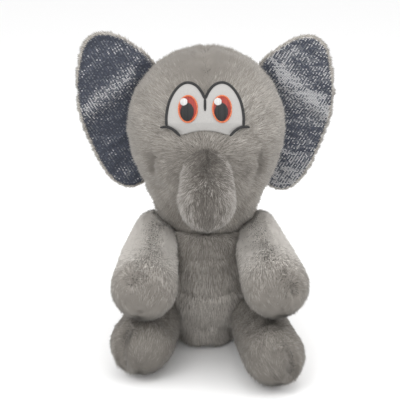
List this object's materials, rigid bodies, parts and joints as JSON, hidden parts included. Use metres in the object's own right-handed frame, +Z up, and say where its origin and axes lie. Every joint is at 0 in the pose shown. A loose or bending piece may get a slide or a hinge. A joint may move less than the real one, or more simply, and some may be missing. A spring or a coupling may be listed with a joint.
{
  "type": "stuffed elephant",
  "caption": "Seated stuffed elephant in grey plush with knit-lined ears, embroidered eyes, a short trunk and sewn, jointed-by-seam limbs.",
  "frame": {"origin": "middle of the flat seat, on the surface that the toy sits on", "axes": "+Z up, -Y the way the face looks, +X to the right of someone who faces the toy"},
  "size_m": [0.2562, 0.2375, 0.3031],
  "materials": {
    "plush": "short soft grey plush with a combed pile",
    "ear_knit": "dark blue-grey knit with a silver metallic yarn",
    "white_felt": "smooth white short-pile felt",
    "black_satin": "black satin-stitch embroidery",
    "iris_satin": "orange-red satin-stitch embroidery",
    "white_satin": "white satin-stitch embroidery",
    "fibre_filling": "white polyester fibre filling",
    "grey_thread": "strong grey sewing thread",
    "label_tape": "plain white woven tape, blank"
  },
  "bodies": {
    "torso": {"seat_panel": "plush", "belly_panel": "plush", "back_panel": "plush", "torso_stuffing": "fibre_filling", "closing_stitches": "grey_thread", "care_label": "label_tape"},
    "neck": {"neck_thread": "grey_thread"},
    "head": {"face_panel": "plush", "head_back_panel": "plush", "head_stuffing": "fibre_filling", "eye_patch": "white_felt", "eye_outline": "black_satin", "left_iris": "iris_satin", "left_pupil": "black_satin", "left_glint": "white_satin", "left_cheek_stroke": "black_satin", "right_iris": "iris_satin", "right_pupil": "black_satin", "right_glint": "white_satin", "right_cheek_stroke": "black_satin"},
    "trunk": {"trunk_left_panel": "plush", "trunk_right_panel": "plush", "trunk_stuffing": "fibre_filling"},
    "tail": {"tail_cord": "plush", "tail_tuft": "plush"},
    "left_ear": {"left_ear_back": "plush", "left_ear_lining": "ear_knit", "left_ear_wadding": "fibre_filling"},
    "left_arm": {"left_arm_outer_panel": "plush", "left_arm_inner_panel": "plush", "left_arm_stuffing": "fibre_filling"},
    "left_leg": {"left_leg_outer_panel": "plush", "left_leg_inner_panel": "plush", "left_leg_stuffing": "fibre_filling"},
    "right_ear": {"right_ear_back": "plush", "right_ear_lining": "ear_knit", "right_ear_wadding": "fibre_filling"},
    "right_arm": {"right_arm_outer_panel": "plush", "right_arm_inner_panel": "plush", "right_arm_stuffing": "fibre_filling"},
    "right_leg": {"right_leg_outer_panel": "plush", "right_leg_inner_panel": "plush", "right_leg_stuffing": "fibre_filling"}
  },
  "joints": [
    {"name": "head_turn", "type": "hinge", "parent": "torso", "child": "neck", "pos_m": [0, 0, 0.15], "axis": [0, 0, 1], "range_deg": [-25, 25], "stiffness_Nm_per_rad": 0.8},
    {"name": "head_nod", "type": "hinge", "parent": "neck", "child": "head", "pos_m": [0, 0, 0.15], "axis": [-1, 0, 0], "range_deg": [-8, 12], "stiffness_Nm_per_rad": 1.2},
    {"name": "trunk_lift", "type": "hinge", "parent": "head", "child": "trunk", "pos_m": [0, -0.0785, 0.222], "axis": [-1, 0, 0], "range_deg": [0, 35], "stiffness_Nm_per_rad": 0.05},
    {"name": "tail_swing", "type": "hinge", "parent": "torso", "child": "tail", "pos_m": [0, 0.0663, 0.051], "axis": [1, 0, 0], "range_deg": [0, 50], "stiffness_Nm_per_rad": 0.004},
    {"name": "left_ear_fold", "type": "hinge", "parent": "head", "child": "left_ear", "pos_m": [-0.084, 0.016, 0.214], "axis": [0, 0, 1], "range_deg": [-20, 35], "stiffness_Nm_per_rad": 0.03},
    {"name": "left_arm_raise", "type": "hinge", "parent": "torso", "child": "left_arm", "pos_m": [-0.052, 0.006, 0.126], "axis": [-0.9559, 0.0641, -0.2868], "range_deg": [0, 30], "stiffness_Nm_per_rad": 0.15},
    {"name": "left_leg_splay", "type": "hinge", "parent": "torso", "child": "left_leg", "pos_m": [-0.065, -0.005, 0.03], "axis": [0, 0, -1], "range_deg": [0, 30], "stiffness_Nm_per_rad": 0.15},
    {"name": "right_ear_fold", "type": "hinge", "parent": "head", "child": "right_ear", "pos_m": [0.084, 0.016, 0.214], "axis": [0, 0, -1], "range_deg": [-20, 35], "stiffness_Nm_per_rad": 0.03},
    {"name": "right_arm_raise", "type": "hinge", "parent": "torso", "child": "right_arm", "pos_m": [0.052, 0.006, 0.126], "axis": [-0.9507, -0.1221, 0.2852], "range_deg": [0, 30], "stiffness_Nm_per_rad": 0.15},
    {"name": "right_leg_splay", "type": "hinge", "parent": "torso", "child": "right_leg", "pos_m": [0.065, -0.005, 0.03], "axis": [0, 0, 1], "range_deg": [0, 30], "stiffness_Nm_per_rad": 0.15}
  ]
}
